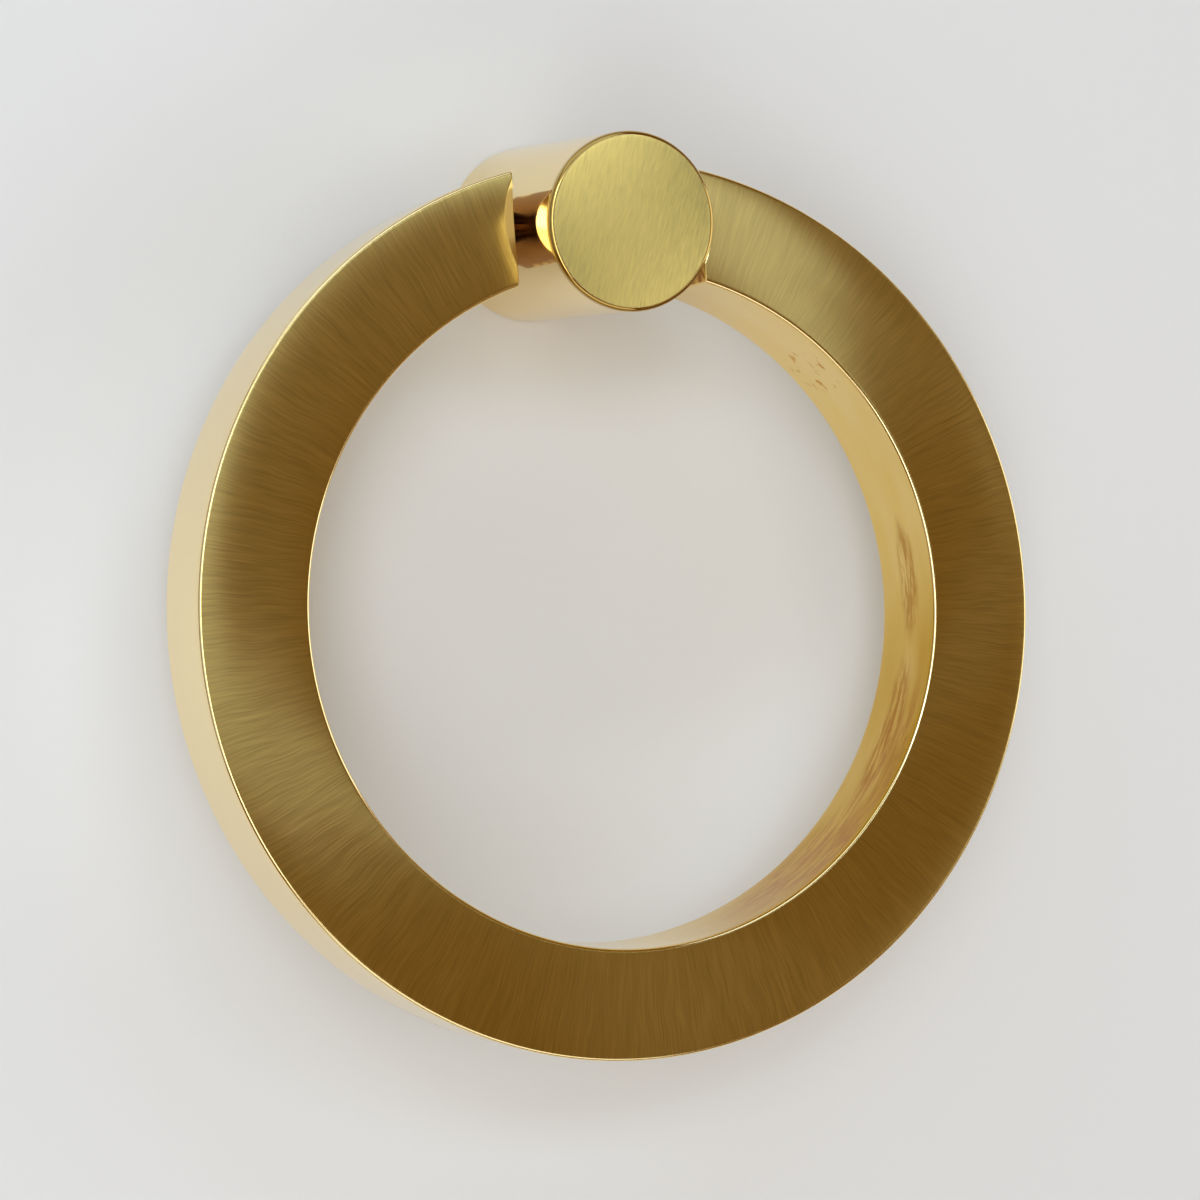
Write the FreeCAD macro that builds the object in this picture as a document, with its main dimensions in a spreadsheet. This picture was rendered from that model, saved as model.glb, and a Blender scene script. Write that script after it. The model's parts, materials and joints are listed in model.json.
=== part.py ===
import FreeCAD, Part
import os

import Sketcher

# Ring pull handle: a turned post, a split ring that swings on it and the pin that joins them.
# Millimetres and degrees. The origin is the centre of the post's mounting face, which is the plane
# Y = 0. The front faces -Y, +Z is up and the ring hangs below the post.

DIMENSIONS = {
    # Post, a round bar that stands out from its mounting face and narrows slightly to the front
    "post_diameter": 15.5,
    "post_draft": 0.6,
    "post_nose": 4.8,
    "post_rim_round": 0.4,
    "post_foot_round": 0.3,
    # Tapped hole in the mounting face, cut to the tap drill of an M4 screw
    "screw_hole_diameter": 3.3,
    "screw_hole_depth": 7.5,
    "screw_mouth": 0.4,
    "drill_point_angle": 118,
    # Ring, a square bar bent round and cut open where the post stands
    "ring_diameter": 76.2,
    "bar_width": 9.4,
    "bar_depth": 9.6,
    "edge_round": 0.3,
    "ring_standoff": 8.6,
    "end_clearance": 0.82,
    "ring_lift": 4.5,
    # Shallow dish round the post that breaks the front edge of both ring ends
    "dish_reach": 0.95,
    "dish_angle": 25,
    # Pivot pin, tight in the ring and free in the post, a little inside the bar's middle line
    "pin_diameter": 3.175,
    "pin_inset": 0.55,
    "pin_play": 0.05,
    "pin_press": 0.01,
    "pin_seat": 4.0,
    "pin_end_gap": 0.3,
    "pin_lead": 0.3,
}

# Sizes that follow from the driving dimensions
POST_HEIGHT = "(dims.ring_standoff + dims.bar_depth + dims.post_nose)"
POST_TIP_RADIUS = f"(dims.post_diameter / 2 - {POST_HEIGHT} * tan(dims.post_draft))"
PIN_HEIGHT = "(dims.ring_standoff + dims.bar_depth / 2)"
PIN_RADIUS = "(dims.pin_diameter / 2)"
SCREW_RADIUS = "(dims.screw_hole_diameter / 2)"
SCREW_TIP = f"(dims.screw_hole_depth + {SCREW_RADIUS} / tan(dims.drill_point_angle / 2))"
OUTER_RADIUS = "(dims.ring_diameter / 2)"
PIN_REACH = f"({OUTER_RADIUS} - dims.bar_width / 2 - dims.pin_inset)"
HALF_GAP = "(dims.post_diameter / 2 + dims.end_clearance)"
DISH_RADIUS = f"({HALF_GAP} + dims.dish_reach)"
SEAT_END = f"({HALF_GAP} + dims.pin_seat)"
RING_PLACEMENT = f"placement(vector(0; -{PIN_HEIGHT}; 0); rotation(vector(1; 0; 0); -dims.ring_lift))"

FLAT = 1e-6


def make_sheet(doc):
    """Write the driving dimensions into a spreadsheet, one named cell each."""
    sheet = doc.addObject("Spreadsheet::Sheet", "dims")
    for row, (name, value) in enumerate(DIMENSIONS.items(), start=1):
        sheet.set(f"A{row}", name)
        sheet.set(f"B{row}", str(value))
        sheet.setAlias(f"B{row}", name)
    doc.recompute()


def make_body(doc, label, placement=None):
    body = doc.addObject("PartDesign::Body", label)
    body.Label = label
    if placement:
        body.setExpression("Placement", placement)
    return body


def sketch_on(body, role, name):
    """Add a sketch on one of the body's own origin planes."""
    plane = next(item for item in body.Origin.OriginFeatures if item.Role == role)
    sketch = body.newObject("Sketcher::SketchObject", name)
    sketch.AttachmentSupport = [(plane, "")]
    sketch.MapMode = "FlatFace"
    return sketch


def bind_constraint(sketch, kind, references, expression):
    value = float(sketch.evalExpression(expression))
    index = sketch.addConstraint(Sketcher.Constraint(kind, *references, value))
    sketch.setExpression(f"Constraints[{index}]", expression)


def place_point(sketch, point, x, y):
    """Tie a sketch point to two expressions, where None puts it on the axis.

    A sketch numbers its horizontal axis -1, with the origin as that axis's point 1, and its vertical
    axis -2. A line starts at its point 1 and ends at its point 2. A circle's centre is its point 3.
    """
    for kind, axis, expression in (("DistanceX", -2, x), ("DistanceY", -1, y)):
        if expression is None:
            sketch.addConstraint(Sketcher.Constraint("PointOnObject", *point, axis))
        else:
            bind_constraint(sketch, kind, (-1, 1, *point), expression)


def draw_circle(sketch, radius, x=None, y=None):
    where = [float(sketch.evalExpression(value)) if value else 0 for value in (x, y)]
    size = float(sketch.evalExpression(radius))
    circle = Part.Circle(FreeCAD.Vector(*where, 0), FreeCAD.Vector(0, 0, 1), size)
    geometry = sketch.addGeometry(circle, False)
    place_point(sketch, (geometry, 3), x, y)
    bind_constraint(sketch, "Radius", (geometry,), radius)


def draw_polygon(sketch, corners):
    """Draw a closed outline through corners that are pairs of expressions."""
    points = [
        FreeCAD.Vector(*(float(sketch.evalExpression(value)) if value else 0 for value in corner), 0)
        for corner in corners
    ]
    ends = points[1:] + points[:1]
    lines = [sketch.addGeometry(Part.LineSegment(a, b), False) for a, b in zip(points, ends)]
    for line, following in zip(lines, lines[1:] + lines[:1]):
        sketch.addConstraint(Sketcher.Constraint("Coincident", line, 2, following, 1))
    for line, corner in zip(lines, corners):
        place_point(sketch, (line, 1), *corner)


def add_feature(body, kind, name, profile, settings=None, **expressions):
    """Add a sketched feature, with plain settings first and bound sizes after them."""
    feature = body.newObject(f"PartDesign::{kind}", name)
    feature.Profile = profile
    for key, value in (settings or {}).items():
        setattr(feature, key, value)
    for key, expression in expressions.items():
        feature.setExpression(key, expression)
    body.Document.recompute()
    return feature


def dress_edges(body, kind, name, base, chosen, **expressions):
    """Round or bevel the edges of a feature that pass a test."""
    edges = [f"Edge{number}" for number, edge in enumerate(base.Shape.Edges, start=1) if chosen(edge)]
    feature = body.newObject(f"PartDesign::{kind}", name)
    feature.Base = (base, edges)
    for key, expression in expressions.items():
        feature.setExpression(key, expression)
    body.Document.recompute()
    return feature


def make_post(doc):
    """Turned bar with a softened rim, a tapped hole behind and a cross bore for the pin."""
    body = make_body(doc, "post")

    outline = sketch_on(body, "XY_Plane", "post_outline")
    draw_polygon(outline, [
        (None, None),
        ("dims.post_diameter / 2", None),
        (POST_TIP_RADIUS, f"-{POST_HEIGHT}"),
        (None, f"-{POST_HEIGHT}"),
    ])
    barrel = add_feature(body, "Revolution", "post_barrel", outline, {"ReferenceAxis": (outline, ["V_Axis"])})

    front = barrel.Shape.BoundBox.YMin
    rim = dress_edges(
        body, "Fillet", "post_rim", barrel,
        lambda edge: edge.BoundBox.YMax < front + FLAT,
        Radius="dims.post_rim_round",
    )
    dress_edges(
        body, "Fillet", "post_foot", rim,
        lambda edge: edge.BoundBox.YMin > -FLAT,
        Radius="dims.post_foot_round",
    )

    drilling = sketch_on(body, "XY_Plane", "screw_hole_profile")
    draw_polygon(drilling, [
        (None, None),
        (f"{SCREW_RADIUS} + dims.screw_mouth", None),
        (SCREW_RADIUS, "-dims.screw_mouth"),
        (SCREW_RADIUS, "-dims.screw_hole_depth"),
        (None, f"-{SCREW_TIP}"),
    ])
    add_feature(body, "Groove", "screw_hole", drilling, {"ReferenceAxis": (drilling, ["V_Axis"])})

    crossing = sketch_on(body, "YZ_Plane", "pin_bore_outline")
    draw_circle(crossing, f"{PIN_RADIUS} + dims.pin_play", x=f"-{PIN_HEIGHT}")
    add_feature(body, "Pocket", "pin_bore", crossing, {"SideType": "Symmetric", "Type": "ThroughAll"})
    return body


def make_ring(doc):
    """Square bar bent into a ring, open at the post, with a shallow dish round the opening."""
    body = make_body(doc, "ring", RING_PLACEMENT)

    section = sketch_on(body, "YZ_Plane", "bar_section")
    half_depth = "dims.bar_depth / 2"
    inner, outer = "dims.pin_inset - dims.bar_width / 2", "dims.pin_inset + dims.bar_width / 2"
    draw_polygon(section, [
        (f"-{half_depth}", inner),
        (half_depth, inner),
        (half_depth, outer),
        (f"-{half_depth}", outer),
    ])
    radius = float(section.evalExpression(PIN_REACH))
    depth = float(section.evalExpression(half_depth))
    axis = section.addGeometry(
        Part.LineSegment(FreeCAD.Vector(0, -radius, 0), FreeCAD.Vector(depth, -radius, 0)), True)
    place_point(section, (axis, 1), None, f"-{PIN_REACH}")
    place_point(section, (axis, 2), half_depth, f"-{PIN_REACH}")
    hoop = add_feature(body, "Revolution", "hoop", section, {"ReferenceAxis": (section, ["Axis0"])})
    dress_edges(
        body, "Fillet", "hoop_edges", hoop,
        lambda edge: isinstance(edge.Curve, Part.Circle),
        Radius="dims.edge_round",
    )

    opening = sketch_on(body, "XZ_Plane", "opening_outline")
    draw_polygon(opening, [
        (f"-{HALF_GAP}", f"-{PIN_REACH}"),
        (HALF_GAP, f"-{PIN_REACH}"),
        (HALF_GAP, "dims.bar_width"),
        (f"-{HALF_GAP}", "dims.bar_width"),
    ])
    add_feature(body, "Pocket", "opening", opening, {"SideType": "Symmetric", "Type": "ThroughAll"})

    cone = sketch_on(body, "XY_Plane", "dish_profile")
    draw_polygon(cone, [
        (None, f"-{half_depth}"),
        (DISH_RADIUS, f"-{half_depth}"),
        (None, f"{DISH_RADIUS} * tan(dims.dish_angle) - {half_depth}"),
    ])
    add_feature(body, "Groove", "dish", cone, {"ReferenceAxis": (cone, ["V_Axis"])})

    # The pin is driven in through the right-hand arm and seats in a blind hole in the left-hand one
    entry = sketch_on(body, "YZ_Plane", "pin_entry_outline")
    draw_circle(entry, f"{PIN_RADIUS} - dims.pin_press")
    add_feature(body, "Pocket", "pin_entry", entry, {"Reversed": True, "Type": "ThroughAll"})
    seat = sketch_on(body, "YZ_Plane", "pin_seat_outline")
    draw_circle(seat, f"{PIN_RADIUS} - dims.pin_press")
    add_feature(body, "Pocket", "pin_seat", seat, Length=SEAT_END)
    return body


def make_pivot_pin(doc):
    """Round pin across the post, bevelled at its seat and dressed flush with the ring's outer wall."""
    body = make_body(doc, "pivot_pin", RING_PLACEMENT)

    outline = sketch_on(body, "YZ_Plane", "pin_outline")
    draw_circle(outline, PIN_RADIUS)
    rod = add_feature(
        body, "Pad", "pin_rod", outline, {"SideType": "Two sides"},
        Length=OUTER_RADIUS, Length2=f"{SEAT_END} - dims.pin_end_gap",
    )

    inner_end = rod.Shape.BoundBox.XMin
    dress_edges(
        body, "Chamfer", "pin_lead_in", rod,
        lambda edge: edge.BoundBox.XMax < inner_end + FLAT,
        Size="dims.pin_lead",
    )

    outside = sketch_on(body, "XZ_Plane", "outer_wall_outline")
    draw_circle(outside, OUTER_RADIUS, y=f"-{PIN_REACH}")
    draw_circle(outside, "dims.ring_diameter", y=f"-{PIN_REACH}")
    add_feature(body, "Pocket", "flush_end", outside, {"SideType": "Symmetric", "Type": "ThroughAll"})
    return body


def check_model(doc, bodies):
    """Stop if a feature failed, a cut removed nothing or a finished piece isn't a sound solid."""
    failed = [item.Label for item in doc.Objects if {"Invalid", "Error"} & set(item.State)]
    if failed:
        raise RuntimeError(f"failed features: {failed}")
    for item in doc.Objects:
        if item.TypeId in ("PartDesign::Pocket", "PartDesign::Groove"):
            if item.Shape.Volume > item.BaseFeature.Shape.Volume - FLAT:
                raise RuntimeError(f"{item.Label} cuts nothing")
    for body in bodies:
        shape = body.Shape
        if shape.isNull() or not shape.isValid() or len(shape.Solids) != 1:
            raise RuntimeError(f"{body.Label} is not one valid solid")


def main():
    doc = FreeCAD.newDocument("ring_pull_handle")
    make_sheet(doc)
    bodies = [make_post(doc), make_ring(doc), make_pivot_pin(doc)]
    doc.recompute()
    check_model(doc, bodies)
    os.makedirs("parts", exist_ok=True)
    for body in bodies:
        body.Shape.exportStep(f"parts/{body.Label}.step")


main()
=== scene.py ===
import json
import math

import bmesh
import bpy
import numpy as np
from bpy.props import FloatProperty, FloatVectorProperty, PointerProperty
from bpy.types import Operator, Panel, PropertyGroup
from mathutils import Matrix, Vector


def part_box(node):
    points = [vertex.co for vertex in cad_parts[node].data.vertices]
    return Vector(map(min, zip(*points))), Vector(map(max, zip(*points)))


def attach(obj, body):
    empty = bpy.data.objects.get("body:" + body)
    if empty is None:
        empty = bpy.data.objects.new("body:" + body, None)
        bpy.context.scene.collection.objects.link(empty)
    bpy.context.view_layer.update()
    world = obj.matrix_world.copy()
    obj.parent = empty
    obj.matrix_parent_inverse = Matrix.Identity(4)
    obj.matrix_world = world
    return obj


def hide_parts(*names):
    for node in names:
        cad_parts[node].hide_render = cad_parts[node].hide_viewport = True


bl_info = {
    "name": "Brass ring pull",
    "version": (1, 0, 0),
    "blender": (4, 5, 0),
    "location": "View3D > Sidebar > Ring pull",
    "description": "Dresses a ring pull handle in brushed and polished brass and sets its stage",
    "category": "Object",
}

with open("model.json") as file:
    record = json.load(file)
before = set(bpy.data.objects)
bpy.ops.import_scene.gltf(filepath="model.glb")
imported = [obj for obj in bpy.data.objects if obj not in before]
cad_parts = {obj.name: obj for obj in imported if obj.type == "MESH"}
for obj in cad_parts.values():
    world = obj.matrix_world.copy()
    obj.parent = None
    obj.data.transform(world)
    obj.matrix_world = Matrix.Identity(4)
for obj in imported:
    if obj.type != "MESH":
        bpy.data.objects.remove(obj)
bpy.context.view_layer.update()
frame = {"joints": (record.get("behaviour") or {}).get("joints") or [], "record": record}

MM = 0.001
POST_LOW, POST_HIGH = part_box("post")
RING_LOW, RING_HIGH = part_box("ring")
PIN_LOW, PIN_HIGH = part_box("pivot_pin")
PIVOT = Vector(frame["joints"][0]["pos_m"])
MOUNTS = {mount["name"]: mount for mount in frame["record"]["mounts"]}
SCREW_HOLE = MOUNTS["screw_hole"]["dims"]
POST_BODY, RING_BODY = "post_body", "ring_body"

# Points nearer than the first are welded, and folds sharper than the second show as edges
WELD = 0.2e-6
SHARP = math.radians(32)

# Steps along the bar's outline: across the face or the back, down a wall and round a corner
FACE_STEPS, WALL_STEPS, CORNER_STEPS = 72, 12, 8

# Each lobe of a brushed finish: its lean in steps of the spread, and its share. The upright one is last.
RING_FAN = ((-1.5, 0.24), (-0.68, 0.18), (0.68, 0.18), (1.42, 0.13), (0.0, 0.27))
DISC_FAN = tuple((step, 1 / 7) for step in (-1.65, -0.88, -0.42, 0.42, 0.88, 1.65, 0.0))
# Lobes that lean by less than this many steps are the duller ones
DULL_LEAN = 0.5

# Each pattern: its size across and along the brush lines, its layer, its detail and its roughness
RIPPLE = (4 * MM, 3 * MM, 5.3, 0.0, 0.5)
DASHES = (1.3 * MM, 0.75 * MM, 2.6, 2.0, 0.5)
STROKES = (4.5 * MM, 0.6 * MM, 8.2, 3.0, 0.7)
CLOUD = (9 * MM, 3 * MM, 6.4, 1.0, 0.5)
# The brush lines take their sizes from the finish
STREAKS = (1.7, 2.0, 0.5)
NOISE_MIDDLE = 0.5
# How far the ripple bends a brush line, and how much the ripple and the brush lines tilt the metal
RIPPLE_BEND = 0.5 * MM
RIPPLE_ACROSS, RIPPLE_ALONG = 0.012, 0.008
STREAK_TILT = 0.3

# Each stain: clock angle and its reach, depth behind the face and its reach as shares, strength
INNER_SPOTS = ((46, 6, 0.48, 0.40, 1.0),)
INNER_SMEARS = (
    (88, 13, 0.43, 0.20, 0.75),
    (116, 17, 0.47, 0.24, 0.95),
    (126, 24, 0.14, 0.16, 0.8),
    (146, 20, 0.45, 0.50, 0.9),
)
# Where a stain fades at its rim, and the noise at which its dashes or strokes begin and are full
STAIN_RIM = (0.2, 1)
SPOT_NOISE, SMEAR_NOISE = (0.55, 0.66), (0.38, 0.60)
# Films on the inner wall: clock angles between which they grow or end, and their weights
FILM_GROWS, FILM_LEAST, FILM_GROWTH = (20, 120), 0.6, 0.4
CLOUD_LEAST, CLOUD_WEIGHT = 0.6, 0.8
BURNT_GROWS, BURNT_ENDS, BURNT_DEEPENS = (75, 115), (156, 182), (115, 145)
BURNT_LEAST, BURNT_NEAR, BURNT_DEEP = 0.2, 0.45, 0.25
# Depths behind the face, as shares of the bar, between which the wall stops being near it
NEAR_FACE = (0.1, 0.45)
# Roughness that the smears and the saw add
SMEAR_DULL, SAW_DULL = 0.1, 0.2

# The Mix node's sockets for colours
MIX_FACTOR, MIX_FIRST, MIX_SECOND, MIX_RESULT = 0, 6, 7, 2


def length(name, description, default):
    return FloatProperty(name=name, description=description, default=default, unit="LENGTH", precision=6)


def angle(name, description, degrees):
    return FloatProperty(name=name, description=description, default=math.radians(degrees), unit="ROTATION")


def factor(name, description, default):
    return FloatProperty(name=name, description=description, default=default)


def colour(name, description, default):
    return FloatVectorProperty(
        name=name, description=description, default=default, subtype="COLOR", min=0, max=1)


class RingPullSizes(PropertyGroup):
    """Sizes of the three pieces, in metres."""

    ring_diameter: length("Ring diameter", "Across the outer wall", RING_HIGH.x - RING_LOW.x)
    bar_width: length("Bar width", "Bar across the ring's face", 9.4 * MM)
    bar_depth: length("Bar depth", "Bar from front to back", 9.6 * MM)
    edge_round: length("Edge round", "Softened long edges of the bar", 0.3 * MM)
    end_round: length("End round", "Softened edges of the two cut ends", 0.14 * MM)
    end_clearance: length("End clearance", "From the post's foot to a cut end, sideways", 0.82 * MM)
    outer_fall: length("Outer fall", "Fall of the face towards its outer edge", 0.125 * MM)
    inner_fall: length("Inner fall", "Fall of the face towards its inner edge", 0.05 * MM)
    ring_lift: angle("Ring lift", "How far the hanging ring stands out", 4.5)
    dish_reach: length("Dish reach", "Width of the scoop in each end's front edge", 0.95 * MM)
    dish_angle: angle("Dish angle", "Slope of that scoop", 25)
    post_diameter: length("Post diameter", "Across the post's foot", POST_HIGH.x - POST_LOW.x)
    post_draft: angle("Post draft", "How fast the post narrows to the front", 0.6)
    post_height: length("Post height", "Mounting face to front disc", POST_HIGH.y - POST_LOW.y)
    rim_round: length("Rim round", "Softened edge of the front disc", 0.4 * MM)
    foot_round: length("Foot round", "Softened edge of the mounting face", 0.3 * MM)
    screw_radius: length("Screw hole radius", "Crests of the thread", SCREW_HOLE["r_mm"] * MM)
    screw_length: length("Screw hole length", "Threaded wall", SCREW_HOLE["length_mm"] * MM)
    screw_mouth: length("Screw hole mouth", "Bevel at the hole's edge", 0.4 * MM)
    thread_pitch: length("Thread pitch", "Crest to crest", 0.7 * MM)
    thread_depth: length("Thread depth", "Crest to root", 0.35 * MM)
    pin_diameter: length("Pin diameter", "Across the pivot pin", PIN_HIGH.z - PIN_LOW.z)
    pin_inset: length("Pin inset", "Pin's axis inside the bar's middle line", 0.55 * MM)
    pin_lead: length("Pin lead", "Bevel at the pin's hidden end", 0.3 * MM)


class RingPullFinish(PropertyGroup):
    """Colours and roughness of the brass."""

    satin: colour("Satin brass", "Brushed face of the ring", (0.64, 0.48, 0.16))
    disc: colour("Disc brass", "Brushed disc of the post", (0.53, 0.425, 0.135))
    polish: colour("Polished brass", "Walls, edges and scoops", (0.95, 0.76, 0.40))
    aged: colour("Aged brass", "Golden film on the ring's inner wall", (0.86, 0.61, 0.17))
    burnt: colour("Burnt brass", "Deeper film low on the right of that wall", (0.58, 0.33, 0.02))
    rust: colour("Rust", "Orange spots high on the right of that wall", (0.66, 0.30, 0.01))
    tarnish: colour("Tarnish", "Brown smears on that wall", (0.47, 0.20, 0.01))
    # The cut ends' dark brown is partly the sawn finish and partly painted shade of the narrow gap at the
    # post
    sawn_and_gap_shade: colour("Sawn brass", "Cut ends of the ring", (0.36, 0.17, 0.045))
    # The rim's darker brass is painted shade: a dark line that stands in for the rim's dark reflection of
    # the room
    rim: colour("Rim brass", "Softened edge of the front disc", (0.50, 0.33, 0.09))
    # The pin's near-black is painted shade: the brass pin sits deep in the gap, and this colour stands in
    # for the shade there
    pin: colour("Pin", "Dark skin of the pivot pin", (0.07, 0.04, 0.02))
    satin_roughness: factor("Satin roughness", "Gloss along the grain", 0.185)
    satin_blur: factor("Satin blur", "Added roughness of the lobes that lean least", 0.095)
    polish_roughness: factor("Polish roughness", "Gloss of the buffed walls", 0.07)
    ring_grain: factor("Ring grain", "Slope of the brush lines on the ring's face", 0.12)
    disc_grain: factor("Disc grain", "Slope of the brush lines on the post's disc", 0.39)
    # Painted shade: two opposite quarters of the disc are darker, standing in for how the brushed disc
    # reflects the light
    disc_quarter_painted_shade: factor("Disc shade", "Difference between the disc's quarters", 0.6)
    ring_tone: factor("Ring streak tone", "Contrast of the ring's brush lines", 0.75)
    disc_tone: factor("Disc streak tone", "Contrast of the disc's brush lines", 1.05)
    streak_width: length("Streak width", "Width of a brush line that shows", 0.12 * MM)
    ring_streak: length("Ring streak", "Length of a brush line on the ring's face", 4.0 * MM)
    disc_streak: length("Disc streak", "Length of a brush line on the disc", 1.4 * MM)


class RingPullStage(PropertyGroup):
    """Camera, lights and backdrop."""

    azimuth: angle("Camera azimuth", "Left of straight on is negative", -23.28)
    elevation: angle("Camera elevation", "Above the aim", 3.79)
    roll: angle("Camera roll", "Turn of the picture", -1.83)
    distance: length("Camera distance", "Camera to aim", 0.29144)
    aim: FloatVectorProperty(
        name="Aim", description="Point in the middle of the picture", subtype="TRANSLATION",
        unit="LENGTH", default=(-2.62 * MM, -19.58 * MM, -31.60 * MM))
    lens: FloatProperty(name="Lens", description="Focal length", default=103.65, unit="CAMERA")
    backdrop: colour("Backdrop", "Plain pale paper behind the handle", (0.88, 0.88, 0.88))
    room: colour("Room", "Warm dim light from all round", (0.20, 0.105, 0.01))
    surround: colour("Surround", "What shows past the paper's edge", (0.70, 0.70, 0.70))
    daylight: colour("Daylight", "Tint of the cool lamps", (0.624, 0.80, 1.0))
    fill: colour("Fill", "Tint of the neutral lamps", (0.88, 0.95, 1.0))


class Patchwork:
    """Grids of points gathered into one mesh and welded where they meet."""

    def __init__(self):
        self.points, self.faces, self.corners, self.masks = [], [], [], []
        self.count = 0

    def add(self, points, uv, **masks):
        """Take a grid of points (rows, columns, 3) with its UV grid and one number grid per mask."""
        rows, columns = points.shape[:2]
        index = np.arange(rows * columns).reshape(rows, columns)
        quads = np.stack([index[:-1, :-1], index[1:, :-1], index[1:, 1:], index[:-1, 1:]], -1)
        quads = quads.reshape(-1, 4)
        self.points.append(points.reshape(-1, 3))
        self.faces.append(quads + self.count)
        self.corners.append(uv.reshape(-1, 2)[quads.ravel()])
        self.masks.append({
            name: np.broadcast_to(value, (rows, columns)).ravel() for name, value in masks.items()})
        self.count += rows * columns

    def build(self, name):
        """Make one welded object of the grids, with a UV map and the masks as attributes."""
        mesh = bpy.data.meshes.new(name)
        mesh.from_pydata(np.concatenate(self.points), [], np.concatenate(self.faces))
        mesh.uv_layers.new(name="grain").data.foreach_set("uv", np.concatenate(self.corners).ravel())
        for mask in self.masks[0]:
            values = np.concatenate([masks[mask] for masks in self.masks])
            layer = mesh.attributes.new(mask, "FLOAT", "POINT")
            layer.data.foreach_set("value", values.astype(np.float32))
        cleaned = bmesh.new()
        cleaned.from_mesh(mesh)
        bmesh.ops.remove_doubles(cleaned, verts=cleaned.verts, dist=WELD)
        bmesh.ops.dissolve_degenerate(cleaned, edges=cleaned.edges, dist=WELD)
        bmesh.ops.recalc_face_normals(cleaned, faces=cleaned.faces)
        cleaned.to_mesh(mesh)
        cleaned.free()
        mesh.shade_smooth()
        mesh.set_sharp_from_angle(angle=SHARP)
        piece = bpy.data.objects.new(name, mesh)
        bpy.context.scene.collection.objects.link(piece)
        return piece


def smooth_step(value, low, high):
    """Rise from 0 at low to 1 at high along a cubic with level ends."""
    share = np.clip((value - low) / (high - low), 0, 1)
    return share * share * (3 - 2 * share)


def bar_section(sizes, inset):
    """Rounded rectangle as a loop: face, outer wall, back and inner wall with quarter circles between.

    Returns the offset from the ring's middle radius, the depth (front is negative), the distance along
    the outline, the share of each point's normal that faces front or back and the share that faces the
    ring's middle. The inset, a column of numbers, shrinks the whole outline.
    """
    corner = sizes.edge_round
    half_width = sizes.bar_width / 2 - corner
    half_depth = sizes.bar_depth / 2 - corner
    face, wall, turn = (
        np.linspace(0, 1, count, endpoint=False) for count in (FACE_STEPS, WALL_STEPS, CORNER_STEPS))
    right_angle = math.pi / 2
    sides = [(-1, -1, 1, -1, face), (1, -1, 1, 1, wall), (1, 1, -1, 1, face), (-1, 1, -1, -1, wall)]
    offsets, depths, normals = [], [], []
    for side, (from_x, from_y, to_x, to_y, share) in enumerate(sides):
        heading = (side - 1) * right_angle
        straight = np.full_like(share, heading)
        bend = heading + turn * right_angle
        normals.append(np.concatenate([straight, bend]))
        offsets.append(half_width * np.concatenate([
            from_x + (to_x - from_x) * share, np.full_like(turn, to_x)]))
        depths.append(half_depth * np.concatenate([
            from_y + (to_y - from_y) * share, np.full_like(turn, to_y)]))
    offset, depth, normal = (
        np.concatenate([*parts, parts[0][:1]]) for parts in (offsets, depths, normals))
    offset = offset + (corner - inset) * np.cos(normal)
    depth = depth + (corner - inset) * np.sin(normal)
    steps = np.hypot(np.diff(offset, axis=-1), np.diff(depth, axis=-1))
    outline = np.concatenate([np.zeros((len(steps), 1)), np.cumsum(steps, axis=-1)], axis=-1)
    return offset, depth, outline, np.abs(np.sin(normal)), -np.cos(normal)


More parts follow.
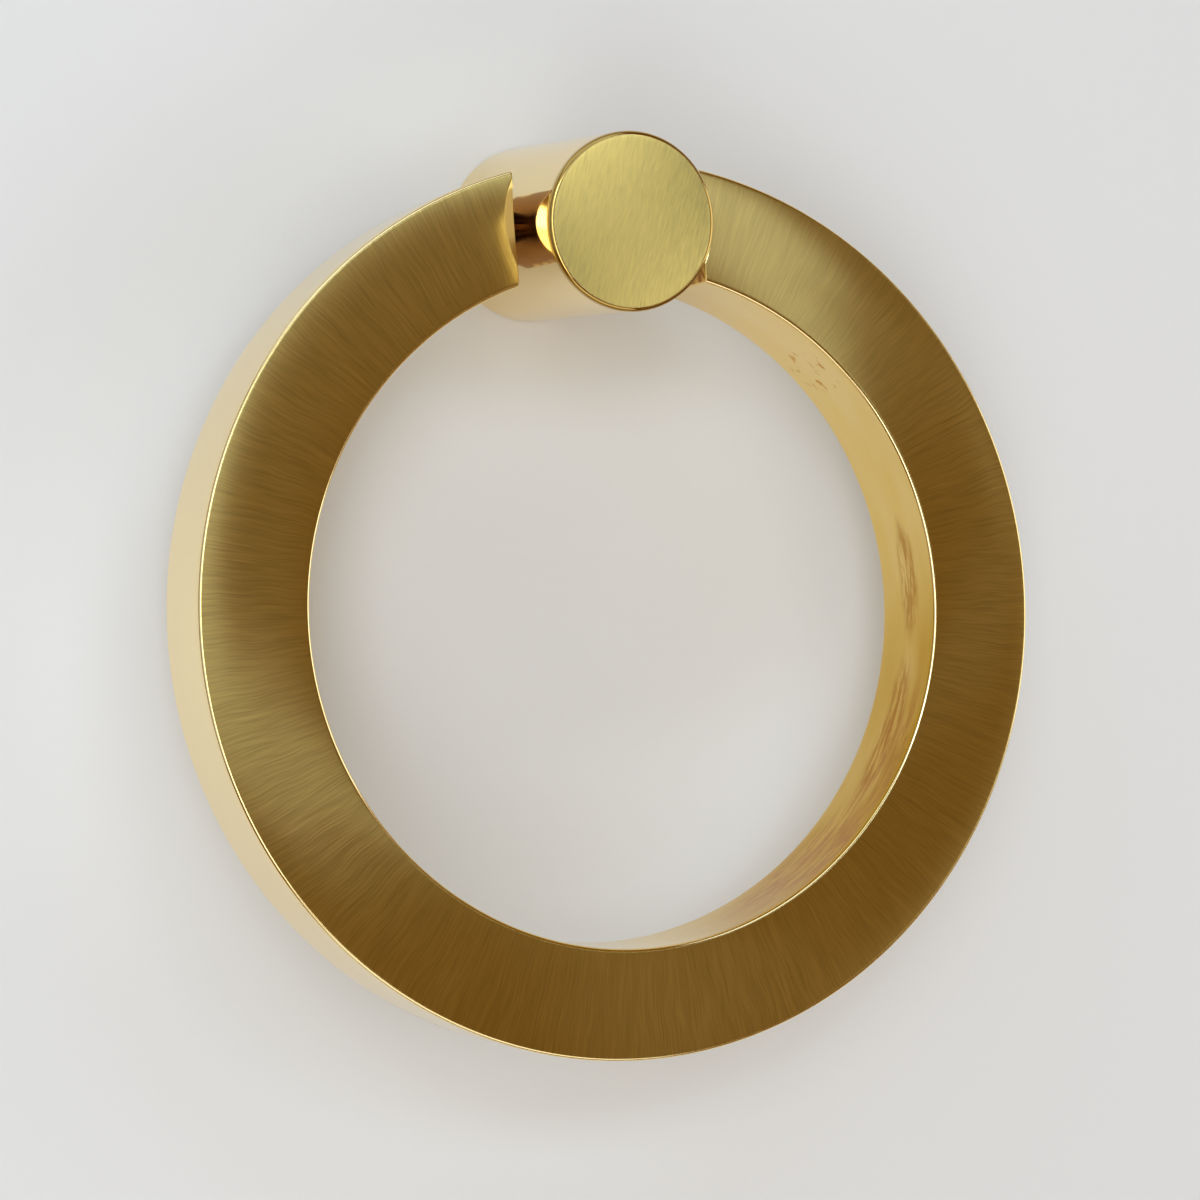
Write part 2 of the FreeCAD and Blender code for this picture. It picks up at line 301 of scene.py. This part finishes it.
class Ring:
    """Shape of the split ring in its own frame: pivot at the origin, face towards -Y."""

    # Rows round an end's edge, close together near an end, and from there to half way round
    bend_rows, fine_rows, coarse_rows = 6, 48, 170
    fine_reach = 2.4 * MM
    fall_power = 3
    scoop_fade = 0.01 * MM
    cap_rows = 7
    bore_depth = 2 * MM
    # Shares of the normal between which the brushing begins on the face, and the inner wall begins
    satin_from, inner_from = (0.9, 1), (0.5, 1)

    def __init__(self, sizes):
        self.sizes = sizes
        self.middle = (sizes.ring_diameter - sizes.bar_width) / 2
        self.reach = self.middle - sizes.pin_inset
        self.half_gap = sizes.post_diameter / 2 + sizes.end_clearance
        self.dish = self.half_gap + sizes.dish_reach

    def dished(self, points):
        """Push the front back to a cone about the post's axis that breaks the ends' front edges."""
        reach = np.hypot(points[..., 0], points[..., 2])
        floor = (self.dish - reach) * math.tan(self.sizes.dish_angle) - self.sizes.bar_depth / 2
        pushed = np.maximum(points[..., 1], floor)
        scooped = smooth_step(pushed - points[..., 1], 0, self.scoop_fade)
        points[..., 1] = pushed
        return scooped

    def place(self, points):
        """Turn the ring out about the pivot and set it on the pin's axis."""
        turned = np.array(Matrix.Rotation(-self.sizes.ring_lift, 3, "X"))
        return points @ turned.T + np.array(PIVOT)

    def sweep(self):
        """Bar carried round the ring between two flat ends.

        Each row lies at a share of the way round. At the ends a point's angle is the arc sine of the
        end plane's distance over the point's radius, so the ends are planes, and the outline shrinks
        along a quarter circle to round their edges. Front and back fall away from the middle of the
        bar with a power of the distance from it.
        """
        sizes = self.sizes
        bend = np.linspace(math.pi / 2, 0, self.bend_rows, endpoint=False)
        fine = np.linspace(0, self.fine_reach, self.fine_rows, endpoint=False)
        half_way = math.pi * self.middle - self.half_gap
        coarse = np.linspace(self.fine_reach, half_way, self.coarse_rows)
        share = np.concatenate([fine, coarse]) / (2 * half_way)
        share = np.concatenate([share, 1 - share[-2::-1]])
        inset = sizes.end_round * np.concatenate([1 - np.cos(bend), 0 * share, 1 - np.cos(bend[::-1])])
        plane = self.half_gap + sizes.end_round * np.concatenate(
            [1 - np.sin(bend), 0 * share + 1, 1 - np.sin(bend[::-1])])
        share = np.concatenate([0 * bend, share, 0 * bend + 1])[:, None]
        offset, depth, outline, facing, inward = bar_section(sizes, inset[:, None])
        radius = self.middle + offset
        first = np.arcsin(plane[:, None] / radius)
        turn = first + share * (2 * math.pi - 2 * first)
        fall = np.where(offset > 0, sizes.outer_fall, sizes.inner_fall) / (sizes.bar_depth / 2)
        fall = fall * np.abs(2 * offset / sizes.bar_width) ** self.fall_power
        points = np.stack([
            radius * np.sin(turn), depth * (1 - fall), radius * np.cos(turn) - self.reach], -1)
        scooped = self.dished(points)
        uv = np.stack([turn * self.middle, outline], -1)
        satin = smooth_step(facing, *self.satin_from) * (1 - scooped)
        return points, uv, satin, smooth_step(inward, *self.inner_from)

    def end_cap(self, loop):
        """Flat end: the outline drawn in to the pin's circle, then a short blind bore."""
        angles = np.arctan2(loop[:, 2], loop[:, 1])
        circle = loop.copy()
        circle[:, 1] = self.sizes.pin_diameter / 2 * np.cos(angles)
        circle[:, 2] = self.sizes.pin_diameter / 2 * np.sin(angles)
        share = np.linspace(0, 1, self.cap_rows)[:, None, None]
        flat = loop * (1 - share) + circle * share
        bottom = circle + np.sign(loop[:, :1]) * np.array([self.bore_depth, 0, 0])
        centre = bottom * np.array([1, 0, 0])
        points = np.concatenate([flat, bottom[None], centre[None]])
        return points, points[..., 1:]


class Tone:
    """A shader number: Python sums and products on it add Math nodes."""

    def __init__(self, paint, socket):
        self.paint, self.socket = paint, socket

    def math(self, operation, *values):
        node = self.paint.node("ShaderNodeMath", {"operation": operation}, dict(enumerate(values)))
        return Tone(self.paint, node.outputs[0])

    def __add__(self, other):
        return self.math("ADD", self, other)

    def __sub__(self, other):
        return self.math("SUBTRACT", self, other)

    def __rsub__(self, other):
        return self.math("SUBTRACT", other, self)

    def __mul__(self, other):
        return self.math("MULTIPLY", self, other)

    __radd__ = __add__
    __rmul__ = __mul__

    def between(self, low, high):
        """Rise smoothly from 0 to 1 as the number goes from low to high."""
        node = self.paint.node("ShaderNodeMapRange", {"interpolation_type": "SMOOTHSTEP"}, {
            "Value": self, "From Min": low, "From Max": high})
        return Tone(self.paint, node.outputs[0])


class Paint:
    """Nodes of one material, or of the world, built from expressions."""

    def __init__(self, name, kind="materials"):
        self.block = getattr(bpy.data, kind).new(name)
        self.block.use_nodes = True
        self.tree = self.block.node_tree
        self.tree.nodes.clear()

    def node(self, kind, settings=None, inputs=None):
        """Add a node: its settings first, then the values or links of its sockets."""
        made = self.tree.nodes.new(kind)
        for key, value in (settings or {}).items():
            setattr(made, key, value)
        for key, value in (inputs or {}).items():
            if isinstance(value, Tone):
                value = value.socket
            if isinstance(value, bpy.types.NodeSocket):
                self.tree.links.new(value, made.inputs[key])
            else:
                made.inputs[key].default_value = value
        return made

    def mask(self, name):
        made = self.node("ShaderNodeAttribute", {"attribute_name": name})
        return Tone(self, made.outputs["Fac"])

    def grain_place(self):
        """Distances across and along the brush lines, in metres, from the piece's own UV map."""
        place = self.node("ShaderNodeUVMap", {"uv_map": "grain"})
        parts = self.node("ShaderNodeSeparateXYZ", None, {0: place.outputs[0]})
        return Tone(self, parts.outputs[0]), Tone(self, parts.outputs[1])

    def noise(self, across, along, pattern):
        """Noise with the sizes and layer of a pattern, at a place given by two distances."""
        width, run, layer, detail, roughness = pattern
        place = self.node("ShaderNodeCombineXYZ", None, {
            0: across * (1 / width), 1: along * (1 / run), 2: layer})
        made = self.node("ShaderNodeTexNoise", None, {
            "Vector": place.outputs[0], "Scale": 1.0, "Detail": detail, "Roughness": roughness})
        return Tone(self, made.outputs[0])

    def mix(self, amount, first, second, blend="MIX"):
        """Mix two colours."""
        made = self.node("ShaderNodeMix", {"data_type": "RGBA", "blend_type": blend}, {
            MIX_FACTOR: amount, MIX_FIRST: first, MIX_SECOND: second})
        return made.outputs[MIX_RESULT]

    def grey(self, value):
        made = self.node("ShaderNodeCombineColor", None, {0: value, 1: value, 2: value})
        return made.outputs[0]

    def metal(self, colour, roughness, slope_across, slope_along):
        """Metal whose normal leans by two small slopes along the UV map's directions."""
        lean = self.node("ShaderNodeCombineColor", None, {
            0: slope_across * 0.5 + 0.5, 1: slope_along * 0.5 + 0.5, 2: 1.0})
        normal = self.node("ShaderNodeNormalMap", {"uv_map": "grain"}, {"Color": lean.outputs[0]})
        made = self.node("ShaderNodeBsdfPrincipled", None, {
            "Metallic": 1.0, "Base Color": colour, "Roughness": roughness, "Normal": normal.outputs[0]})
        return made.outputs[0]

    def finish(self, fan, colour, roughness, blur, spread, slope_across, slope_along):
        """Shares of metal that lean across the brush lines by the fan's steps of the spread.

        The lobes that lean least are duller by the blur.
        """
        surface, total = None, 0
        for step, share in fan:
            dull = roughness + blur if abs(step) < DULL_LEAN else roughness
            leaning = self.metal(colour, dull, slope_across + spread * step, slope_along)
            total += share
            if surface is None:
                surface = leaning
                continue
            mixed = self.node("ShaderNodeMixShader", None, {0: share / total, 1: surface, 2: leaning})
            surface = mixed.outputs[0]
        self.node("ShaderNodeOutputMaterial", None, {"Surface": surface})
        return self.block


def opaque(rgb):
    return (*rgb, 1.0)


def brushed_brass(paint, look, brushed, polish, grain, streak_length, streak_tone):
    """Satin and polished brass with brush lines along the UV map's second direction.

    Returns the colour, the roughness, the blur and the spread of the fan and the two slopes of the normal.
    """
    satin = paint.mask("satin")
    across, along = paint.grain_place()
    ripple = paint.noise(across, along, RIPPLE) - NOISE_MIDDLE
    streaks = (look.streak_width, streak_length, *STREAKS)
    streak = paint.noise(across + ripple * RIPPLE_BEND, along, streaks) - NOISE_MIDDLE
    colour = paint.mix(satin, opaque(polish), opaque(brushed))
    colour = paint.mix(1.0, colour, paint.grey(1.0 + streak * satin * streak_tone), "MULTIPLY")
    gloss = look.satin_roughness - look.polish_roughness
    roughness = look.polish_roughness + satin * gloss
    slope_across = satin * streak * (STREAK_TILT * grain) + ripple * RIPPLE_ACROSS
    slope_along = ripple * RIPPLE_ALONG
    return colour, roughness, satin * look.satin_blur, satin * grain, slope_across, slope_along


def ring_brass(sizes, look):
    """Brass of the ring, with golden films, orange spots and brown smears on its inner wall.

    The clock angle and the depth behind the face, as a share of the bar, come from the UV map.
    """
    paint = Paint("ring_brushed")
    colour, roughness, *rest = brushed_brass(
        paint, look, look.satin, look.polish, look.ring_grain, look.ring_streak, look.ring_tone)
    across, along = paint.grain_place()
    turn = across * (360 / (math.pi * (sizes.ring_diameter - sizes.bar_width)))
    corner = sizes.edge_round
    # The outline up to the inner wall's front end: four sides and three quarter circles
    wall_end = 2 * (sizes.bar_width + sizes.bar_depth - 4 * corner) + 1.5 * math.pi * corner
    depth = (wall_end - along) * (1 / sizes.bar_depth)
    inner = paint.mask("inner")

    def spread_over(stains):
        """Soft ovals on the wall, each faded out at its rim."""
        total = 0
        for middle, reach, level, thick, strength in stains:
            aside, below = (turn - middle) * (1 / reach), (depth - level) * (1 / thick)
            total = total + (1 - (aside * aside + below * below).between(*STAIN_RIM)) * strength
        return total

    dashes = paint.noise(across, along, DASHES)
    strokes = paint.noise(across, along, STROKES)
    spots = inner * spread_over(INNER_SPOTS) * dashes.between(*SPOT_NOISE)
    smears = inner * spread_over(INNER_SMEARS) * strokes.between(*SMEAR_NOISE)
    cloud = paint.noise(across, along, CLOUD)
    grown = turn.between(*FILM_GROWS) * FILM_GROWTH + FILM_LEAST
    film = inner * grown * (cloud * CLOUD_WEIGHT + CLOUD_LEAST)
    colour = paint.mix(film, colour, opaque(look.aged))
    near = 1 - depth.between(*NEAR_FACE)
    low = turn.between(*BURNT_GROWS) * (1 - turn.between(*BURNT_ENDS))
    deep = turn.between(*BURNT_DEEPENS) * BURNT_DEEP
    burnt = inner * low * (cloud * CLOUD_WEIGHT + near * BURNT_NEAR + deep + BURNT_LEAST)
    colour = paint.mix(burnt, colour, opaque(look.burnt))
    colour = paint.mix(spots, colour, opaque(look.rust))
    colour = paint.mix(smears, colour, opaque(look.tarnish))
    # The cut ends and their bores take the dark sawn brass: rougher sawn metal, and a colour that is
    # painted shade of the gap
    cut = paint.mask("cut")
    colour = paint.mix(cut, colour, opaque(look.sawn_and_gap_shade))
    roughness = roughness + smears * SMEAR_DULL + cut * SAW_DULL
    return paint.finish(RING_FAN, colour, roughness, *rest)


def plain_brass(name, sizes, look, polish):
    """Brass of the post and the pin. The disc is a little darker in two opposite quarters and its rim takes
    a darker brass, both painted shade; the pin's dark colour is painted shade too.
    """
    paint = Paint(name)
    colour, *rest = brushed_brass(
        paint, look, look.disc, polish, look.disc_grain, look.disc_streak, look.disc_tone)
    across, along = paint.grain_place()
    # Painted shade: darken two opposite quarters of the disc
    quarter = paint.mask("satin") * across * along * (look.disc_quarter_painted_shade / (sizes.post_diameter / 2) ** 2)
    colour = paint.mix(1.0, colour, paint.grey(1.0 - quarter), "MULTIPLY")
    # Painted shade: the softened rim takes a darker brass that stands in for its dark reflection
    colour = paint.mix(paint.mask("rim"), colour, opaque(look.rim))
    return paint.finish(DISC_FAN, colour, *rest)


class PieceOperator:
    """What the operators that make a piece share."""

    bl_options = {"REGISTER", "UNDO"}

    def dress(self, piece, material, node, body):
        """Give the piece its brass and let it stand for its node on a body."""
        piece.data.materials.append(material)
        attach(piece, body)
        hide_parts(node)


class RINGPULL_OT_ring(PieceOperator, Operator):
    """Make the split ring: brushed face, polished walls and stained inner wall."""

    bl_idname = "ring_pull.ring"
    bl_label = "Ring"

    def execute(self, context):
        sizes = context.scene.ring_pull_sizes
        ring = Ring(sizes)
        patches = Patchwork()
        points, uv, satin, inner = ring.sweep()
        patches.add(ring.place(points), uv, satin=satin, inner=inner, cut=0.0)
        for loop in (points[0], points[-1]):
            cap, cap_uv = ring.end_cap(loop)
            patches.add(ring.place(cap), cap_uv, satin=0.0, inner=0.0, cut=1.0)
        piece = patches.build("ring_brushed")
        self.dress(piece, ring_brass(sizes, context.scene.ring_pull_finish), "ring", RING_BODY)
        return {"FINISHED"}


class RINGPULL_OT_post(PieceOperator, Operator):
    """Make the post: satin disc, softened rim, polished wall and threaded hole."""

    bl_idname = "ring_pull.post"
    bl_label = "Post"

    columns = 193
    disc_rows, bend_rows, wall_rows, base_rows, thread_rows = 30, 11, 60, 12, 161
    grain_lean = math.radians(17)
    drill_angle = math.radians(59)
    # Along the outline, in rounds of the rim: where the rim is polished, and where its darker tone, painted
    # shade standing in for the rim's dark reflection, fades and ends
    polished_by = 0.35
    tone_fades, tone_ends = 1.3, 2.2

    def turned(self, radius, height):
        """Carry a profile of radius and height round the post's axis, which runs along -Y."""
        turn = np.linspace(0, 2 * math.pi, self.columns)
        radius, height = np.broadcast_arrays(radius, np.asarray(height)[:, None] + 0 * turn)
        return np.stack([radius * np.sin(turn), -height, radius * np.cos(turn)], -1), turn

    def tip_radius(self, sizes):
        """Radius at the front, where the drafted wall would meet the disc."""
        return sizes.post_diameter / 2 - sizes.post_height * math.tan(sizes.post_draft)

    def disc(self, sizes):
        """Front disc as circles about its centre, with straight brush lines that lean a little."""
        radius = np.linspace(0, self.tip_radius(sizes) - sizes.rim_round, self.disc_rows)
        points, _ = self.turned(radius[:, None], np.full_like(radius, sizes.post_height))
        lean = np.array(Matrix.Rotation(self.grain_lean, 2))
        return points, points[..., ::2] @ lean.T

    def wall(self, sizes):
        """Rim quarter circle, drafted wall, foot quarter circle and flat mounting face."""
        wide, tip, tall = sizes.post_diameter / 2, self.tip_radius(sizes), sizes.post_height
        bend = np.linspace(0, math.pi / 2, self.bend_rows)
        rim, foot = sizes.rim_round, sizes.foot_round
        mouth = sizes.screw_radius + sizes.screw_mouth
        share = np.linspace(0, 1, self.wall_rows)[1:-1]
        inwards = np.linspace(wide - foot, mouth, self.base_rows)[1:]
        radius = np.concatenate([
            tip - rim + rim * np.sin(bend), tip + (wide - tip) * share,
            wide - foot + foot * np.cos(bend), inwards])
        height = np.concatenate([
            tall - rim + rim * np.cos(bend), tall - rim + (foot - tall + rim) * share,
            foot - foot * np.sin(bend), 0 * inwards])
        points, turn = self.turned(radius[:, None], height)
        outline = np.concatenate([[0], np.cumsum(np.hypot(np.diff(radius), np.diff(height)))])
        uv = np.stack(np.broadcast_arrays(turn * wide, outline[:, None]), -1)
        polished = smooth_step(outline, 0, self.polished_by * rim)[:, None]
        rim_shade_ended = smooth_step(outline, self.tone_fades * rim, self.tone_ends * rim)[:, None]
        return points, uv, 1 - polished, polished * (1 - rim_shade_ended)

    def screw_hole(self, sizes):
        """Bevelled mouth, a thread whose root follows a helix, and the drill's cone.

        The radius grows by the thread's depth times a triangle wave of the height in pitches less the
        turn round the axis, faded out at both ends of the thread.
        """
        turn = np.linspace(0, 2 * math.pi, self.columns)
        start, run = sizes.screw_mouth, sizes.screw_length
        height = np.linspace(start, start + run, self.thread_rows)
        phase = np.mod(height[:, None] / sizes.thread_pitch - turn / (2 * math.pi), 1)
        fade = smooth_step(np.minimum(height - start, start + run - height), 0, sizes.thread_pitch)
        thread = sizes.screw_radius + sizes.thread_depth * (1 - np.abs(2 * phase - 1)) * fade[:, None]
        mouth = np.full((1, self.columns), sizes.screw_radius + sizes.screw_mouth)
        tip = np.zeros((1, self.columns))
        depth = start + run + sizes.screw_radius / math.tan(self.drill_angle)
        points, _ = self.turned(
            np.concatenate([mouth, thread, tip]), np.concatenate([[0], height, [depth]]))
        return points, points[..., 1:]

    def execute(self, context):
        sizes = context.scene.ring_pull_sizes
        patches = Patchwork()
        patches.add(*self.disc(sizes), satin=1.0, rim=0.0)
        points, uv, satin, edge = self.wall(sizes)
        patches.add(points, uv, satin=satin, rim=edge)
        patches.add(*self.screw_hole(sizes), satin=0.0, rim=0.0)
        piece = patches.build("post_turned")
        look = context.scene.ring_pull_finish
        self.dress(piece, plain_brass("post_turned", sizes, look, look.polish), "post", POST_BODY)
        return {"FINISHED"}


class RINGPULL_OT_pin(PieceOperator, Operator):
    """Make the pivot pin: round rod, bevelled hidden end and an end dressed flush with the ring.

    Circles are carried along the pin. At the dressed end they follow the ring's outer wall: the square
    root of the wall's radius squared less the height above the ring's middle squared.
    """

    bl_idname = "ring_pull.pin"
    bl_label = "Pivot pin"

    columns = 65
    rod_rows, dressed_rows = 41, 8
    proud = 0.01 * MM

    def execute(self, context):
        sizes = context.scene.ring_pull_sizes
        ring = Ring(sizes)
        turn = np.linspace(0, 2 * math.pi, self.columns)
        radius = sizes.pin_diameter / 2
        outer = sizes.ring_diameter / 2 + self.proud
        spread = np.concatenate([
            [0, radius - sizes.pin_lead], np.full(self.rod_rows, radius),
            np.linspace(radius, 0, self.dressed_rows + 1)[1:]])
        side, up = spread[:, None] * np.cos(turn), spread[:, None] * np.sin(turn)
        flush = np.sqrt(outer ** 2 - (ring.reach + up) ** 2)
        share = np.concatenate([
            [0, 0], np.linspace(0, 1, self.rod_rows), np.ones(self.dressed_rows)])[:, None]
        row = np.arange(len(share))[:, None]
        lead = sizes.pin_lead * (row > 1)
        along = (PIN_LOW.x + lead) * (1 - share) + flush * share
        points = np.stack([along, side, up], -1)
        dressed = row >= len(share) - self.dressed_rows
        uv = np.stack([np.where(dressed, side, along), np.where(dressed, up, turn * radius)], -1)
        patches = Patchwork()
        patches.add(ring.place(points), uv, satin=dressed, rim=0.0)
        piece = patches.build("pin_drawn")
        look = context.scene.ring_pull_finish
        # The pin's dark colour, given here as its polish, is painted shade of the gap
        self.dress(piece, plain_brass("pin_drawn", sizes, look, look.pin), "pivot_pin", RING_BODY)
        return {"FINISHED"}


class RINGPULL_OT_stage(Operator):
    """Set the pale backdrop, the soft lights and the camera."""

    bl_idname = "ring_pull.stage"
    bl_label = "Stage"

    paper_half = 0.6
    paper_rays = 64
    sensor_width = 36
    clip_start = 0.01
    # Each lamp: name, bearing and height in degrees, distance, width and length, radiance, tint
    lamps = (
        ("front", -24, 0, 0.8, (0.30, 0.85), 3.2, "fill"),
        ("left", -46.4, 12.4, 0.8, (0.82, 1.0), 0.6, "daylight"),
        ("key", -6.4, 22.2, 0.8, (0.54, 0.135), 4.1, "daylight"),
        ("top", -19.2, 59.5, 0.9, (0.98, 0.41), 1.7, "daylight"),
        ("high", 35.0, 14.4, 0.6, (0.04, 0.117), 0.5, "daylight"),
        ("right", 43.5, -22.7, 0.45, (0.02, 0.4), 0.8, "fill"),
        ("bottom", -8.5, -53.8, 0.9, (0.99, 0.5), 1.3, "fill"),
        ("far", 77.3, 2.6, 0.8, (0.71, 0.41), 1.9, "fill"),
        ("rear", 180, 20, 0.8, (0.7, 0.7), 1.2, "fill"),
    )

    def sheet(self, name, hole, material):
        """Square card that isn't part of the handle, with a round hole where the post covers it.

        Rays from the middle are cut at the hole's radius and where they meet the square.
        """
        turn = np.linspace(0, 2 * math.pi, self.paper_rays, endpoint=False)
        ray = np.stack([np.sin(turn), 0 * turn, np.cos(turn)], -1)
        edge = ray * (self.paper_half / np.abs(ray).max(-1, keepdims=True))
        index = np.arange(len(turn))
        after = np.roll(index, -1)
        faces = np.stack([index, after, after + len(turn), index + len(turn)], -1)
        mesh = bpy.data.meshes.new(name)
        mesh.from_pydata(np.concatenate([ray * hole, edge]), [], faces)
        mesh.materials.append(material)
        card = bpy.data.objects.new(name, mesh)
        bpy.context.scene.collection.objects.link(card)

    def paper(self, name, tint):
        """Matt pale surface that shows nothing from behind."""
        paint = Paint(name)
        matt = paint.node("ShaderNodeBsdfDiffuse", None, {"Color": opaque(tint)})
        clear = paint.node("ShaderNodeBsdfTransparent")
        side = paint.node("ShaderNodeNewGeometry")
        shown = paint.node("ShaderNodeMixShader", None, {
            0: side.outputs["Backfacing"], 1: matt.outputs[0], 2: clear.outputs[0]})
        paint.node("ShaderNodeOutputMaterial", None, {"Surface": shown.outputs[0]})
        return paint.block

    def room(self, name, stage):
        """Warm dim light from all round, with a pale surround where the camera looks past the paper."""
        paint = Paint(name, "worlds")
        dim = paint.node("ShaderNodeBackground", None, {"Color": opaque(stage.room)})
        pale = paint.node("ShaderNodeBackground", None, {"Color": opaque(stage.surround)})
        path = paint.node("ShaderNodeLightPath")
        shown = paint.node("ShaderNodeMixShader", None, {
            0: path.outputs["Is Camera Ray"], 1: dim.outputs[0], 2: pale.outputs[0]})
        paint.node("ShaderNodeOutputWorld", None, {"Surface": shown.outputs[0]})
        return paint.block

    def lamp(self, name, bearing, height, distance, size, radiance, tint):
        """A soft rectangular lamp that faces the ring's middle, placed by bearing and height in degrees.

        Its power is pi times its radiance and its area.
        """
        data = bpy.data.lights.new(name, "AREA")
        data.shape = "RECTANGLE"
        data.size, data.size_y = size
        data.energy = radiance * math.pi * size[0] * size[1]
        data.color = tint
        light = bpy.data.objects.new(name, data)
        across, up = math.radians(bearing), math.radians(height)
        away = Vector((math.sin(across) * math.cos(up), -math.cos(across) * math.cos(up), math.sin(up)))
        light.location = (RING_LOW + RING_HIGH) / 2 + away * distance
        light.rotation_euler = away.to_track_quat("Z", "Y").to_euler()
        bpy.context.scene.collection.objects.link(light)

    def camera(self, stage):
        """Camera on a sphere round the aim, turned about its own line of sight by the roll."""
        data = bpy.data.cameras.new("camera")
        data.lens, data.sensor_width, data.clip_start = stage.lens, self.sensor_width, self.clip_start
        view = bpy.data.objects.new("camera", data)
        level = math.cos(stage.elevation)
        back = Vector((
            math.sin(stage.azimuth) * level, -math.cos(stage.azimuth) * level, math.sin(stage.elevation)))
        turned = back.to_track_quat("Z", "Y").to_matrix() @ Matrix.Rotation(stage.roll, 3, "Z")
        view.matrix_world = Matrix.Translation(Vector(stage.aim) + back * stage.distance) @ turned.to_4x4()
        bpy.context.scene.collection.objects.link(view)
        bpy.context.scene.camera = view

    def execute(self, context):
        stage = context.scene.ring_pull_stage
        sizes = context.scene.ring_pull_sizes
        hole = sizes.post_diameter / 2 - 2 * sizes.foot_round
        self.sheet("paper", hole, self.paper("paper", stage.backdrop))
        for *settings, tint in self.lamps:
            self.lamp(*settings, getattr(stage, tint))
        context.scene.world = self.room("room", stage)
        context.scene.view_settings.view_transform = "Standard"
        self.camera(stage)
        return {"FINISHED"}


class RINGPULL_PT_panel(Panel):
    """Lists the handle's pieces and their settings in the sidebar."""

    bl_idname = "RINGPULL_PT_panel"
    bl_label = "Ring pull"
    bl_space_type = "VIEW_3D"
    bl_region_type = "UI"
    bl_category = "Ring pull"

    def draw(self, context):
        for operator in OPERATORS:
            self.layout.operator(operator.bl_idname)
        for group in GROUPS:
            settings = getattr(context.scene, group)
            for name in settings.__annotations__:
                self.layout.prop(settings, name)


GROUPS = {
    "ring_pull_sizes": RingPullSizes,
    "ring_pull_finish": RingPullFinish,
    "ring_pull_stage": RingPullStage,
}
OPERATORS = (RINGPULL_OT_ring, RINGPULL_OT_post, RINGPULL_OT_pin, RINGPULL_OT_stage)
CLASSES = (*GROUPS.values(), *OPERATORS, RINGPULL_PT_panel)


def register():
    for item in CLASSES:
        bpy.utils.register_class(item)
    for name, group in GROUPS.items():
        setattr(bpy.types.Scene, name, PointerProperty(type=group))


def unregister():
    for name in GROUPS:
        delattr(bpy.types.Scene, name)
    for item in reversed(CLASSES):
        bpy.utils.unregister_class(item)


def main():
    register()
    bpy.ops.ring_pull.ring()
    bpy.ops.ring_pull.post()
    bpy.ops.ring_pull.pin()
    bpy.ops.ring_pull.stage()


if __name__ == "__main__":
    main()
